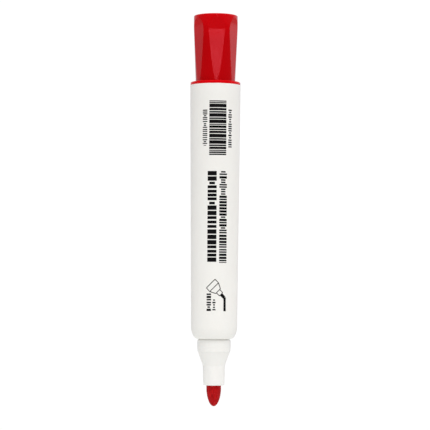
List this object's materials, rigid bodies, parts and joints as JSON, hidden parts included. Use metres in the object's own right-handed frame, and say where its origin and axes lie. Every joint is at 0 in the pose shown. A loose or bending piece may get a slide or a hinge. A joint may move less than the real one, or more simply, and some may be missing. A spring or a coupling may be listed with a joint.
{
  "type": "whiteboard marker",
  "caption": "Whiteboard marker with a bullet nib, a slightly tapered white barrel and a red faceted cap pushed onto the post at its rear.",
  "frame": {"origin": "tip of the nib, which is the lowest point on the axis", "axes": "+Z along the marker from the nib to the cap, -Y is the printed front, +X is to the right seen from the front"},
  "size_m": [0.0174, 0.0174, 0.1347],
  "materials": {
    "barrel": "satin white polypropylene",
    "nib_holder": "satin white polypropylene",
    "nib": "bonded fibre soaked with red ink",
    "ink_reservoir": "bonded fibre soaked with red ink",
    "reservoir_wrap": "thin clear film",
    "end_plug": "glossy red polypropylene",
    "cap": "polished red polypropylene",
    "inner_cap": "natural polyethylene"
  },
  "bodies": {
    "marker_body": {"barrel": "barrel", "nib_holder": "nib_holder", "nib": "nib", "ink_reservoir": "ink_reservoir", "reservoir_wrap": "reservoir_wrap", "end_plug": "end_plug"},
    "cap_body": {"cap": "cap", "inner_cap": "inner_cap"}
  },
  "joints": [
    {"name": "cap_pull", "type": "slide", "parent": "marker_body", "child": "cap_body", "axis": [0, 0, 1], "range_m": [0, 0.03]}
  ]
}
